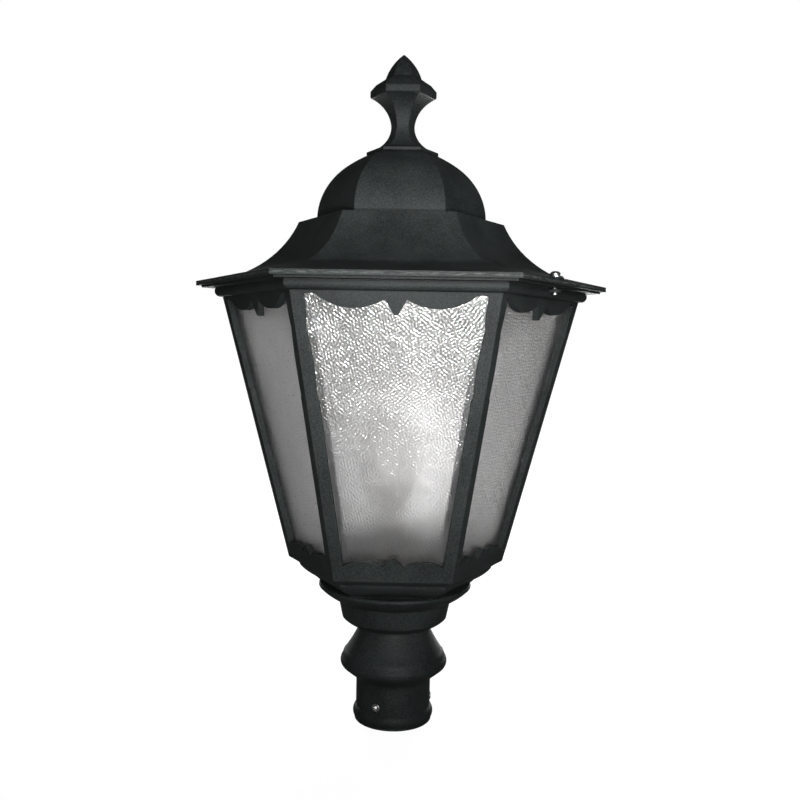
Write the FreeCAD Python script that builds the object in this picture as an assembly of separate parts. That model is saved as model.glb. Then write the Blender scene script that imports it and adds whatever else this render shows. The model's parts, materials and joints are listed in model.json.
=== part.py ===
import FreeCAD, Part
import math
import os

# A six-sided post top lantern. Millimetres, +Z up. The origin is the centre of the post
# socket's open bottom end. Side 0 faces -Y, the sides count anticlockwise seen from above,
# and two of the hexagon's corners lie on the X axis.
# Outlines are lists of (distance from the axis, height) and each piece's outline starts
# from its own seat. On hexagonal pieces the distance is to the middle of a side.

# ---- driving dimensions --------------------------------------------------------------
SIDES = 6
LATCH_SIDE = 1
HINGE_SIDE = 4

# post socket, a turned casting
POST_BORE_RADIUS = 31.0
SOCKET_RADIUS = 38.0
SOCKET_BEAD_RADIUS = 41.0
BELL_RADIUS = 54.5
NECK_RADIUS = 36.0
TOE_BULGE = 1.4
BEAD_MIDDLE = 7.3
BEAD_TOP = 14.5
BELL_FOOT = 47.0
BELL_FLARE = 3.6
BELL_EDGE = 5.0
BELL_HEIGHT = 60.5
BELL_STEP = 4.5
BELL_STEP_HEIGHT = 11.0
NECK_SWEEP = 13.6
SOCKET_HEIGHT = 97.8
POST_STOP_THICKNESS = 11.8
RELIEF_RADIUS = 45.0
RELIEF_FOOT = 49.5
RELIEF_TOP = 78.5
RELIEF_BEVEL = 13.0
CABLE_HOLE_RADIUS = 12.0

# set screws that grip the post
SET_SCREW_RADIUS = 4.0
SET_SCREW_HEIGHT = 22.0
SET_SCREW_PROUD = 0.8
SET_SCREW_COUNT = 3
SET_SCREW_TURN = -25.0
SET_SCREW_KEY = 4.0
SET_SCREW_POINT = 1.0

# round dish between the socket and the cage
DISH_BELLY_RADIUS = 57.0
DISH_RIM_RADIUS = 77.5
DISH_HEIGHT = 44.7
DISH_FOOT_RISE = 9.0
DISH_BELLY_HEIGHT = 27.0
DISH_BEAD = 1.2
DISH_RIM = 3.2
DISH_COVE = (7.9, 6.8)
DISH_WELL_RADIUS = 50.0
DISH_WELL_BEVEL = 5.0
DISH_FLOOR = 6.2

# hexagonal base tray, whose top is the lantern's floor
TRAY_INSET = 26.96
TRAY_HEIGHT = 22.7
TRAY_WALL = 3.5
TRAY_COVE = (2.7, 2.9)
TRAY_COVE_MIDDLE = (10.9, 8.2)
TRAY_STEP = 2.3
TRAY_SHOULDER = 9.4
TRAY_TOP_EDGE = 6.0
FLOOR_THICKNESS = 5.0
LIP_HEIGHT = 8.8
LIP_THICKNESS = 3.2

# cage of six leaning side frames
CAGE_FOOT = 94.66
CAGE_SLOPE = 0.2288
CAGE_HEIGHT = 267.7
FRAME_THICKNESS = 6.15
STILE_WIDTH = 10.5
PANE_THICKNESS = 4.1
PANE_REBATE = 6.9
PANE_FOOT = 9.8
PANE_HEAD = 2.0
STRIP_THICKNESS = 1.2
STRIP_WIDTH = 10.0

# scalloped edges of the frame openings
TOP_CORNER_DROP = 8.3
TOP_PEAK_DROP = 6.6
TOP_LOBE_DROP = 18.7
TOP_CUSP_DROP = 11.0
TOP_POINT_DROP = 24.7
TOP_PEAK_INSET = 6.7
TOP_LOBE_END_INSET = 12.7
TOP_CUSP_HALF = 9.3
FOOT_CORNER_RISE = 14.8
FOOT_LOBE_RISE = 19.9
FOOT_VALLEY_RISE = 14.4
FOOT_POINT_RISE = 23.5
FOOT_VALLEY_HALF = 9.4
POINT_ROUNDING = 2.0
CUSP_SHARES = (0.64, 0.866)
CUSP_BITE = 1.5

# cornice ring on the cage
CORNICE_PROUD = 6.09
CORNICE_FLANGE = 3.5
CORNICE_WIDTH = 18.0
CORNICE_DROP = 4.3
CORNICE_BAND = 2.9
CORNICE_TOE = 1.3
CORNICE_BULGE = 1.5
SEAL_THICKNESS = 1.2
SEAL_WIDTH = 4.0
SEAL_INSET = 1.0

# roof skirt; the sweep's two points are shares of its run and of its rise
BRIM_REACH = 16.4
RIM_BAND_INSET = 5.0
RIM_BAND = 1.9
RIM_HEIGHT = 6.5
SWEEP_END_SHARE = (0.5095, 0.2496)
SWEEP_MIDDLE_SHARE = (0.2134, 0.5471)
ROOF_LEDGE = 15.7
ROOF_HEIGHT = 66.9
ROOF_WALL = 3.6
BRIM_FOOT_WIDTH = 16.0
VENT_LEDGE = 7.2

# dome and finial; the dome's points are shares of its foot's half width and of its height
DOME_FOOT = 73.2
HAUNCH_SHARE = (0.9372, 0.4135)
SHOULDER_SHARE = (0.6954, 0.797)
CROWN_SHARE = (0.5656, 0.9053)
DOME_TOP = 30.6
DOME_HEIGHT = 66.5
DOME_WALL = 3.2
FINIAL_FOOT = 31.1
FINIAL_FOOT_RIM = 3.0
FINIAL_FOOT_STEP = 1.2
FINIAL_NECK = 10.2
FINIAL_NECK_HEIGHT = 28.0
FINIAL_NECK_FLARE = (3.7, 13.5)
FINIAL_NECK_SWEEP = 4.3
FINIAL_BAND = 28.6
FINIAL_BAND_FOOT = 57.0
FINIAL_BAND_TOP = 62.5
FINIAL_EAVE = (8.1, 5.9)
FINIAL_CONE = 15.6
FINIAL_CONE_FOOT = 74.7
FINIAL_CONE_MIDDLE = (9.7, 11.0)
FINIAL_HEIGHT = 99.0

# tie rod that holds the roof together
STUD_RADIUS = 4.0
STUD_BITE = 41.0
STUD_END = 14.0
BRIDGE_END_GAP = 9.3
BRIDGE_WIDTH = 22.0
BRIDGE_THICKNESS = 3.0
REFLECTOR_RADIUS = 80.0
REFLECTOR_SHEET = 1.0
REFLECTOR_SKIRT = 7.0
REFLECTOR_FLARE = 4.0
REFLECTOR_LIP = 3.0
WASHER_RADIUS = 9.0
WASHER_THICKNESS = 1.6
NUT_ACROSS = 13.0
NUT_HEIGHT = 6.5

# hinge
HINGE_STAND = 7.0
HINGE_DROP = 9.6
KNUCKLE_RADIUS = 4.0
HINGE_PIN_RADIUS = 1.5
HINGE_PIN_HEAD = 2.8
HINGE_HALF_WIDTH = 22.0
ROOF_KNUCKLE_HALF = 9.6
HINGE_GAP = 0.4
LEAF_THICKNESS = 2.0
HINGE_PLATE_HALF = 35.0
HINGE_PLATE_THICKNESS = 4.0
HINGE_PLATE_HEIGHT = 10.0
HINGE_PLATE_DROP = 0.6
HINGE_ARM_RISE = 2.0
HINGE_WEB = 5.0
HINGE_PIN_END = 1.5
LEAF_GAP = 1.5

# latch
LATCH_STAND = 3.0
LATCH_SCREW_RADIUS = 2.4
LATCH_LUG_RADIUS = 6.0
LATCH_LUG_CLEARANCE = 0.75
LATCH_LUG_THICKNESS = 3.0
LATCH_PAD_RADIUS = 8.0
LATCH_PAD_HEIGHT = 9.8
LATCH_WASHER_RADIUS = 7.0
LATCH_WASHER_THICKNESS = 1.0
LATCH_HEAD_RADIUS = 5.0
LATCH_HEAD_RIM = 2.2
LATCH_HEAD_HEIGHT = 4.6
LATCH_TIP = 5.2

# lamp holder, lamp and wiring
HOLDER_RADIUS = 22.0
HOLDER_FLANGE_RADIUS = 25.0
HOLDER_FLANGE = 6.0
HOLDER_HEIGHT = 35.8
HOLDER_FLOOR = 4.0
HOLDER_SHELL = 0.6
STRAP_LENGTH = 80.0
STRAP_WIDTH = 26.0
STRAP_THICKNESS = 3.0
CAP_RADIUS = 13.2
LAMP_CLEARANCE = 0.5
CONTACT_HEIGHT = 1.5
LAMP_TIP_RADIUS = 4.5
LAMP_TIP_HEIGHT = 2.2
LAMP_NECK_RADIUS = 14.0
LAMP_BODY_RADIUS = 27.0
LAMP_BODY_HEIGHT = 42.0
LAMP_GLOBE_RADIUS = 30.0
LAMP_GLOBE_HEIGHT = 66.0
BLOCK_SIZE = (34.0, 14.0, 16.0)
BLOCK_PLACE = 49.0
WIRE_RADIUS = 0.9
WIRE_SPREAD = 6.0
WIRE_RISE = 9.0
WIRE_HEIGHT = 6.8
INLET_PLACE = (-30.0, -36.0)
INLET_RADIUS = 8.0
GROMMET_FLANGE = 11.0
GROMMET_BORE = 5.5
GROMMET_LIP = 1.6
EARTH_PLACE = (40.0, -30.0)
EARTH_WASHER_RADIUS = 5.0
EARTH_WASHER = 1.2

# fasteners
SMALL_SCREW_RADIUS = 1.95
SMALL_HEAD_RADIUS = 3.6
SMALL_HEAD_HEIGHT = 2.4
SCREW_BITE = 4.2
TOP_SCREW_BITE = 6.5
HEAD_STAND = 0.9
BLOCK_SCREW_SPREAD = 11.0
SIDE_SCREW_SPREAD = 25.0
BOLT_RADIUS = 3.0
BOLT_COUNT = 3
BOLT_HEAD_ACROSS = 10.0
BOLT_HEAD_HEIGHT = 4.0
TIE_BOLT_CIRCLE = 60.0
TIE_BOLT_BOSS = 7.0
TIE_BOLT_BITE = 12.5
NECK_BOLT_CIRCLE = 24.0
NECK_BOLT_BITE = 9.0
HINGE_SCREW_SPREAD = 29.0
LEAF_SCREW_SPREAD = 16.0
STRAP_SCREW_SPREAD = 34.0
RIVET_SPREAD = 14.0

APEX_FLAT = 0.6

# clearances
SLIDE_FIT = 0.08
FIXED_FIT = 0.05
LOOSE_FIT = 0.3

# ---- places that follow --------------------------------------------------------------
DISH_SEAT = SOCKET_HEIGHT
TRAY_SEAT = DISH_SEAT + DISH_HEIGHT
FLOOR = TRAY_SEAT + TRAY_HEIGHT
CAGE_TOP = FLOOR + CAGE_HEIGHT
CORNICE_TOP = CAGE_TOP + CORNICE_FLANGE
ROOF_SEAT = CORNICE_TOP + SEAL_THICKNESS
DOME_SEAT = ROOF_SEAT + ROOF_HEIGHT
FINIAL_SEAT = DOME_SEAT + DOME_HEIGHT
POST_STOP = SOCKET_HEIGHT - POST_STOP_THICKNESS
TRAY_RIM = CAGE_FOOT - TRAY_INSET
CORNICE_FACE = CAGE_FOOT + CAGE_SLOPE * CAGE_HEIGHT + CORNICE_PROUD
CORNICE_INNER = CORNICE_FACE - CORNICE_WIDTH
ROOF_RIM = CORNICE_FACE + BRIM_REACH
ROOF_TOP = DOME_FOOT + ROOF_LEDGE
ROOF_VENT = DOME_FOOT - VENT_LEDGE
HINGE_REACH = CORNICE_FACE + HINGE_STAND
LATCH_REACH = CORNICE_FACE + LATCH_STAND
BRIDGE_TOP = DOME_SEAT - ROOF_WALL
HINGE_HEIGHT = ROOF_SEAT - HINGE_DROP
HOLDER_SEAT = FLOOR + STRAP_THICKNESS
HOLDER_TOP = HOLDER_SEAT + HOLDER_HEIGHT
HALF_TURN = 180.0
FULL_TURN = 360.0
STEP = FULL_TURN / SIDES
HALF_SIDE = math.tan(math.pi / SIDES)
FAR = 400.0
AXIS = FreeCAD.Vector(0, 0, 1)
CENTRE = FreeCAD.Vector(0, 0, 0)


# ---- shape helpers -------------------------------------------------------------------
def outline(points, place):
    """A closed face. A point is a pair, or a (middle, end) pair of pairs for an arc."""
    edges = []
    here = points[0]
    for step in list(points[1:]) + [points[0]]:
        if isinstance(step[0], tuple):
            middle, end = step
            edges.append(Part.Arc(place(here), place(middle), place(end)).toShape())
            here = end
        else:
            if step != here:
                edges.append(Part.LineSegment(place(here), place(step)).toShape())
            here = step
    return Part.Face(Part.Wire(edges))


def turned(points):
    """A solid of revolution about Z from (radius, height) points."""
    face = outline(points, lambda p: FreeCAD.Vector(p[0], 0, p[1]))
    return face.revolve(CENTRE, AXIS, FULL_TURN)


def to_side(shape, side):
    """A copy of a shape made for side 0, turned to another side."""
    copy = shape.copy()
    copy.rotate(CENTRE, AXIS, STEP * side)
    return copy


def one_side(points):
    """Side 0 of a hexagonal piece: its section drawn out along the side and mitred."""
    face = outline(points, lambda p: FreeCAD.Vector(-FAR, -p[0], p[1]))
    bar = face.extrude(FreeCAD.Vector(2 * FAR, 0, 0))
    corners = [(0, 0), (-FAR * HALF_SIDE, -FAR), (FAR * HALF_SIDE, -FAR)]
    wedge = outline(corners, lambda p: FreeCAD.Vector(p[0], p[1], -FAR))
    return bar.common(wedge.extrude(FreeCAD.Vector(0, 0, 4 * FAR)))


def joined(shapes):
    """One shape from several that touch."""
    return shapes[0].multiFuse(shapes[1:]).removeSplitter()


def hexagonal(points):
    """A hexagonal piece with mitred corners from (apothem, height) points."""
    side = one_side(points)
    return joined([to_side(side, k) for k in range(SIDES)])


def rod(radius, foot, top, x=0.0, y=0.0):
    """An upright cylinder."""
    return Part.makeCylinder(radius, top - foot, FreeCAD.Vector(x, y, foot))


def hex_rod(across, foot, top, x=0.0, y=0.0):
    """An upright hexagonal bar, such as a nut or a bolt's head."""
    radius = across / math.sqrt(3)
    angles = [math.radians(STEP * k) for k in range(SIDES)]
    corners = [(x + radius * math.cos(t), y + radius * math.sin(t)) for t in angles]
    face = outline(corners, lambda p: FreeCAD.Vector(p[0], p[1], foot))
    return face.extrude(FreeCAD.Vector(0, 0, top - foot))


def box(low, high):
    """A box from its lowest corner to its highest."""
    size = [b - a for a, b in zip(low, high)]
    return Part.makeBox(*size, FreeCAD.Vector(*low))


def ring_places(radius, count, turn):
    """Points spread evenly on a circle, the first one turned from side 0's middle."""
    angles = [math.radians(turn - 90.0 + FULL_TURN * k / count) for k in range(count)]
    return [(radius * math.cos(t), radius * math.sin(t)) for t in angles]


def across_rod(radius, x_from, x_to, reach, height):
    """A cylinder along side 0, lying level at a distance from the axis."""
    start = FreeCAD.Vector(x_from, -reach, height)
    return Part.makeCylinder(radius, x_to - x_from, start, FreeCAD.Vector(1, 0, 0))


def out_rod(radius, reach_from, reach_to, x, height):
    """A level cylinder that points out through side 0."""
    start = FreeCAD.Vector(x, -reach_from, height)
    return Part.makeCylinder(radius, reach_to - reach_from, start, FreeCAD.Vector(0, -1, 0))


def along_side(points, x_from, x_to):
    """An (apothem, height) section drawn out along side 0 between two places."""
    face = outline(points, lambda p: FreeCAD.Vector(x_from, -p[0], p[1]))
    return face.extrude(FreeCAD.Vector(x_to - x_from, 0, 0))


def through_side(points):
    """An outline on side 0, as (along the side, height), cut right through level."""
    face = outline(points, lambda p: FreeCAD.Vector(p[0], -2 * FAR, p[1]))
    return face.extrude(FreeCAD.Vector(0, 2 * FAR, 0))


def screw(radius, head_radius, head_height, foot, seat, x, y):
    """An upright pan-head screw from its foot to its head's seat, with a chamfered head."""
    chamfer = head_height / 3
    body = turned([
        (0, foot), (radius, foot), (radius, seat), (head_radius, seat),
        (head_radius, seat + head_height - chamfer),
        (head_radius - chamfer, seat + head_height), (0, seat + head_height),
    ])
    body.translate(FreeCAD.Vector(x, y, 0))
    return body


# ---- the leaning cage ----------------------------------------------------------------
def cage_face(height):
    """Distance from the axis to the outer face of the cage."""
    return CAGE_FOOT + CAGE_SLOPE * (height - FLOOR)


def half_width(height):
    """Half the width of a side's outer face."""
    return cage_face(height) * HALF_SIDE


def slab(depth_from, depth_to, foot, top):
    """Section of a plate that leans with the cage, between two depths behind its face."""
    return [
        (cage_face(foot) - depth_from, foot), (cage_face(top) - depth_from, top),
        (cage_face(top) - depth_to, top), (cage_face(foot) - depth_to, foot),
    ]


def inside_stile(height, width):
    """Place along a side that is a given width in from its corner."""
    return half_width(height) - width


def opening_half():
    """Right half of a frame's opening, from the point in its foot to the one in its head."""
    foot = FLOOR + FOOT_CORNER_RISE
    foot_x = inside_stile(foot, STILE_WIDTH)
    valley = (FOOT_VALLEY_HALF, FLOOR + FOOT_VALLEY_RISE)
    lobe = ((FOOT_VALLEY_HALF + foot_x) / 2, FLOOR + FOOT_LOBE_RISE)
    point = FLOOR + FOOT_POINT_RISE
    low, high = (FLOOR + CAGE_HEIGHT * share for share in CUSP_SHARES)
    head = CAGE_TOP - TOP_CORNER_DROP
    head_x = inside_stile(head, STILE_WIDTH)
    bow = STILE_WIDTH + CUSP_BITE / 4
    middle = (low + high) / 2
    upper = (high + head) / 2
    peak = (head_x - TOP_PEAK_INSET, CAGE_TOP - TOP_PEAK_DROP)
    lobe_end = (head_x - TOP_LOBE_END_INSET, head - 1.0)
    lobe_low = ((TOP_CUSP_HALF + lobe_end[0]) / 2, CAGE_TOP - TOP_LOBE_DROP)
    cusp = (TOP_CUSP_HALF, CAGE_TOP - TOP_CUSP_DROP)
    tip = CAGE_TOP - TOP_POINT_DROP
    half = POINT_ROUNDING
    return [
        (0, point), ((half * 0.6, point - half * 0.2), (half, point - half * 0.6)),
        valley, (lobe, (foot_x, foot)),
        (inside_stile(low, STILE_WIDTH + CUSP_BITE / 3), low),
        (inside_stile(low + CUSP_BITE, STILE_WIDTH - CUSP_BITE / 2), low + CUSP_BITE),
        ((inside_stile(middle, bow), middle),
         (inside_stile(high, STILE_WIDTH - CUSP_BITE), high)),
        ((inside_stile(upper, bow), upper), (head_x, head)),
        (peak, lobe_end), (lobe_low, cusp), (half, tip + half * 0.6),
        ((half * 0.6, tip + half * 0.2), (0, tip)),
    ]


def both_halves(half):
    """Closes a right-hand half outline with its mirror image."""
    def end_of(step):
        return step[1] if isinstance(step[0], tuple) else step

    def mirrored(pair):
        return (-pair[0], pair[1])

    points = list(half)
    for k in range(len(half) - 1, 0, -1):
        target = mirrored(end_of(half[k - 1]))
        if isinstance(half[k][0], tuple):
            points.append((mirrored(half[k][0]), target))
        else:
            points.append(target)
    return points


def side_frame():
    """A cast side frame with a scalloped opening and blind holes for its screws."""
    plate = one_side(slab(0, FRAME_THICKNESS, FLOOR, CAGE_TOP))
    plate = plate.cut(through_side(both_halves(opening_half())))
    holes = []
    for x in (-SIDE_SCREW_SPREAD, SIDE_SCREW_SPREAD):
        inner = cage_face(LIP_SCREW_HEIGHT) - FRAME_THICKNESS
        radius = SMALL_SCREW_RADIUS + FIXED_FIT
        holes.append(out_rod(radius, inner - 1, inner + SCREW_BITE, x, LIP_SCREW_HEIGHT))
        foot = CAGE_TOP - TOP_SCREW_BITE
        holes.append(rod(radius, foot, CAGE_TOP + 1, x, -TOP_SCREW_REACH))
    return plate.cut(Part.makeCompound(holes))


def hinge_side_frame():
    """The side frame behind the hinge, with two more holes for the hinge's screws."""
    frame = side_frame()
    face = cage_face(HINGE_SCREW_HEIGHT)
    radius = SMALL_SCREW_RADIUS + FIXED_FIT
    for x in (-HINGE_SCREW_SPREAD, HINGE_SCREW_SPREAD):
        hole = out_rod(radius, face - SCREW_BITE, face + 1, x, HINGE_SCREW_HEIGHT)
        frame = frame.cut(hole)
    return frame


def pane():
    """A flat tapered pane that lies against the back of a side frame."""
    foot = FLOOR + PANE_FOOT
    top = CAGE_TOP - PANE_HEAD
    front = FRAME_THICKNESS
    sheet = one_side(slab(front, front + PANE_THICKNESS, foot, top))
    corners = [
        (-inside_stile(foot, PANE_REBATE), foot), (inside_stile(foot, PANE_REBATE), foot),
        (inside_stile(top, PANE_REBATE), top), (-inside_stile(top, PANE_REBATE), top),
    ]
    return sheet.common(through_side(corners))


def corner_strips():
    """Six bent strips that hold the edges of the panes against the frames' stiles."""
    front = FRAME_THICKNESS + PANE_THICKNESS
    foot = FLOOR
    top = CAGE_TOP
    sheet = one_side(slab(front, front + STRIP_THICKNESS, foot, top))
    width = front * HALF_SIDE + STRIP_WIDTH
    corners = [
        (-inside_stile(foot, width), foot), (inside_stile(foot, width), foot),
        (inside_stile(top, width), top), (-inside_stile(top, width), top),
    ]
    edges = sheet.cut(through_side(corners))
    return joined([to_side(edges, k) for k in range(SIDES)])


def cornice_ring():
    """The moulded ring that caps the cage, with a lug for the latch screw."""
    toe = cage_face(CAGE_TOP - CORNICE_DROP)
    foot = CAGE_TOP - CORNICE_DROP
    band = CORNICE_TOP - CORNICE_BAND
    round_middle = (toe + CORNICE_TOE + (CORNICE_FACE - toe) * 0.58, foot + CORNICE_BULGE)
    ring = hexagonal([
        (CORNICE_INNER, CAGE_TOP), (cage_face(CAGE_TOP), CAGE_TOP), (toe, foot),
        (toe + CORNICE_TOE, foot), (round_middle, (CORNICE_FACE, band)),
        (CORNICE_FACE, CORNICE_TOP), (CORNICE_INNER, CORNICE_TOP),
    ])
    under = CORNICE_TOP - LATCH_LUG_THICKNESS
    lug = rod(LATCH_LUG_RADIUS, under, CORNICE_TOP, 0, -LATCH_REACH)
    root = CORNICE_FACE - LATCH_LUG_RADIUS
    neck = box((-LATCH_LUG_RADIUS, -LATCH_REACH, under), (LATCH_LUG_RADIUS, -root, CORNICE_TOP))
    hole = rod(LATCH_SCREW_RADIUS + LATCH_LUG_CLEARANCE, under - 1, CORNICE_TOP + 1, 0, -LATCH_REACH)
    lug = to_side(lug.fuse(neck).cut(hole), LATCH_SIDE)
    ring = ring.fuse(lug).removeSplitter().cut(to_side(hole, LATCH_SIDE))
    return ring.cut(Part.makeCompound(cornice_screw_shapes(FIXED_FIT)))


def cornice_screw_shapes(spare):
    """Countersunk screws down through the ring into the frames, grown by a clearance."""
    shapes = []
    radius = SMALL_SCREW_RADIUS + spare
    head = SMALL_HEAD_RADIUS + spare
    sink = SMALL_HEAD_RADIUS - SMALL_SCREW_RADIUS
    foot = CAGE_TOP - TOP_SCREW_BITE + LOOSE_FIT
    for side in range(SIDES):
        for x in (-SIDE_SCREW_SPREAD, SIDE_SCREW_SPREAD):
            one = turned([
                (0, foot), (radius, foot), (radius, CORNICE_TOP - sink),
                (head, CORNICE_TOP), (0, CORNICE_TOP),
            ])
            one.translate(FreeCAD.Vector(x, -TOP_SCREW_REACH, 0))
            shapes.append(to_side(one, side))
    return shapes


def cornice_screws():
    """The screws that hold the cornice ring to the frames."""
    return Part.makeCompound(cornice_screw_shapes(0))


def frame_screws():
    """Pan-head screws from inside the floor's lip into the foot of each frame."""
    shapes = []
    lip = cage_face(LIP_SCREW_HEIGHT) - FRAME_THICKNESS - LIP_THICKNESS
    tip = lip + LIP_THICKNESS + SCREW_BITE - LOOSE_FIT
    for side in range(SIDES):
        for x in (-SIDE_SCREW_SPREAD, SIDE_SCREW_SPREAD):
            shank = out_rod(SMALL_SCREW_RADIUS, lip - HEAD_STAND, tip, x, LIP_SCREW_HEIGHT)
            head_from = lip - SMALL_HEAD_HEIGHT - HEAD_STAND
            head = out_rod(SMALL_HEAD_RADIUS, head_from, lip - HEAD_STAND, x, LIP_SCREW_HEIGHT)
            shapes.append(to_side(shank.fuse(head), side))
    return Part.makeCompound(shapes)


# ---- post socket, dish and tray ------------------------------------------------------
def post_socket():
    """The turned socket that slips over the post, relieved inside its bell."""
    bore = POST_BORE_RADIUS
    wall = SOCKET_RADIUS
    toe = TOE_BULGE
    bow = toe * math.cos(math.pi / 4)
    step = BELL_RADIUS - BELL_STEP
    step_height = BELL_HEIGHT + BELL_STEP_HEIGHT
    body = turned([
        (bore, 0), (wall, 0), ((wall + bow, toe - bow), (wall + toe, toe)), (wall + bow, toe + bow),
        ((SOCKET_BEAD_RADIUS, BEAD_MIDDLE), (wall, BEAD_TOP)), (wall, BELL_FOOT - 2 * BELL_FLARE),
        ((wall + BELL_FLARE * 0.35, BELL_FOOT - BELL_FLARE * 0.7), (wall + BELL_FLARE, BELL_FOOT)),
        (BELL_RADIUS - BELL_EDGE / 2, BELL_HEIGHT - BELL_EDGE),
        ((BELL_RADIUS, BELL_HEIGHT), (BELL_RADIUS - BELL_EDGE / 3, BELL_HEIGHT + BELL_EDGE)),
        (step + BELL_EDGE / 4, step_height - BELL_EDGE / 4), (step, step_height),
        ((NECK_RADIUS + NECK_SWEEP * 0.43, SOCKET_HEIGHT - NECK_SWEEP),
         (NECK_RADIUS, SOCKET_HEIGHT - NECK_SWEEP * 0.15)),
        (NECK_RADIUS, SOCKET_HEIGHT), (CABLE_HOLE_RADIUS, SOCKET_HEIGHT),
        (CABLE_HOLE_RADIUS, POST_STOP), (bore, POST_STOP), (bore, RELIEF_TOP),
        (RELIEF_RADIUS, RELIEF_TOP - RELIEF_BEVEL),
        (RELIEF_RADIUS, RELIEF_FOOT + RELIEF_BEVEL * 0.6), (bore, RELIEF_FOOT),
    ])
    holes = [set_screw_hole(k) for k in range(SET_SCREW_COUNT)]
    for x, y in ring_places(NECK_BOLT_CIRCLE, BOLT_COUNT, 0):
        foot = SOCKET_HEIGHT - NECK_BOLT_BITE
        holes.append(rod(BOLT_RADIUS + FIXED_FIT, foot, SOCKET_HEIGHT + 1, x, y))
    return body.cut(Part.makeCompound(holes))


def set_screw_hole(index):
    """A level threaded hole through the socket's wall."""
    radius = SET_SCREW_RADIUS + SLIDE_FIT
    hole = out_rod(radius, POST_BORE_RADIUS / 2, 2 * SOCKET_BEAD_RADIUS, 0, SET_SCREW_HEIGHT)
    hole.rotate(CENTRE, AXIS, SET_SCREW_TURN + FULL_TURN * index / SET_SCREW_COUNT)
    return hole


def set_screw(index):
    """A headless set screw with a hexagonal key socket and a cone point."""
    inner = POST_BORE_RADIUS + LOOSE_FIT
    outer = SOCKET_RADIUS + SET_SCREW_PROUD
    point = SET_SCREW_POINT
    body = turned([
        (0, 0), (SET_SCREW_RADIUS - point, 0), (SET_SCREW_RADIUS, point),
        (SET_SCREW_RADIUS, outer - inner - point / 2),
        (SET_SCREW_RADIUS - point / 2, outer - inner), (0, outer - inner),
    ])
    depth = (outer - inner) / 2
    body = body.cut(hex_rod(SET_SCREW_KEY, depth, outer))
    body.rotate(CENTRE, FreeCAD.Vector(1, 0, 0), HALF_TURN / 2)
    body.translate(FreeCAD.Vector(0, -inner, SET_SCREW_HEIGHT))
    body.rotate(CENTRE, AXIS, SET_SCREW_TURN + FULL_TURN * index / SET_SCREW_COUNT)
    return body


def base_dish():
    """The round dish that joins the socket to the tray and holds the cable's slack."""
    seat = DISH_SEAT
    well = DISH_WELL_RADIUS
    belly = DISH_BELLY_RADIUS
    rim = DISH_RIM_RADIUS
    rise = DISH_FOOT_RISE
    waist = seat + DISH_BELLY_HEIGHT
    rim_foot = TRAY_SEAT - DISH_RIM
    chamfer = DISH_RIM / 3
    floor = seat + DISH_FLOOR
    body = turned([
        (CABLE_HOLE_RADIUS, seat), (NECK_RADIUS, seat),
        ((belly - rise * 1.2, seat + rise * 0.41), (belly - rise * 0.42, seat + rise)),
        (belly, waist), (belly + DISH_BEAD * 0.7, waist + DISH_BEAD),
        ((rim - DISH_COVE[0], rim_foot - DISH_COVE[1]), (rim, rim_foot)),
        (rim, TRAY_SEAT - chamfer), (rim - chamfer, TRAY_SEAT), (well, TRAY_SEAT),
        (well, floor + DISH_WELL_BEVEL), (well - DISH_WELL_BEVEL, floor), (CABLE_HOLE_RADIUS, floor),
    ])
    holes = []
    for x, y in ring_places(NECK_BOLT_CIRCLE, BOLT_COUNT, 0):
        holes.append(rod(BOLT_RADIUS + FIXED_FIT, seat - 1, seat + DISH_FLOOR + 1, x, y))
    for x, y in ring_places(TIE_BOLT_CIRCLE, BOLT_COUNT, 0):
        holes.append(rod(BOLT_RADIUS + FIXED_FIT, TRAY_SEAT - TIE_BOLT_BITE, TRAY_SEAT + 1, x, y))
    return body.cut(Part.makeCompound(holes))


def hex_bolts(circle, foot, seat):
    """Three hexagon bolts on a circle, threads down."""
    bolts = []
    for x, y in ring_places(circle, BOLT_COUNT, 0):
        shank = rod(BOLT_RADIUS, foot, seat + 1, x, y)
        head = hex_rod(BOLT_HEAD_ACROSS, seat, seat + BOLT_HEAD_HEIGHT, x, y)
        bolts.append(shank.fuse(head))
    return Part.makeCompound(bolts)


def neck_bolts():
    """Bolts from inside the dish down into the socket."""
    foot = SOCKET_HEIGHT - NECK_BOLT_BITE + LOOSE_FIT
    return hex_bolts(NECK_BOLT_CIRCLE, foot, DISH_SEAT + DISH_FLOOR)


def tie_bolts():
    """Long bolts from the floor down through the tray into the dish."""
    return hex_bolts(TIE_BOLT_CIRCLE, TRAY_SEAT - TIE_BOLT_BITE + LOOSE_FIT, FLOOR)


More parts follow.
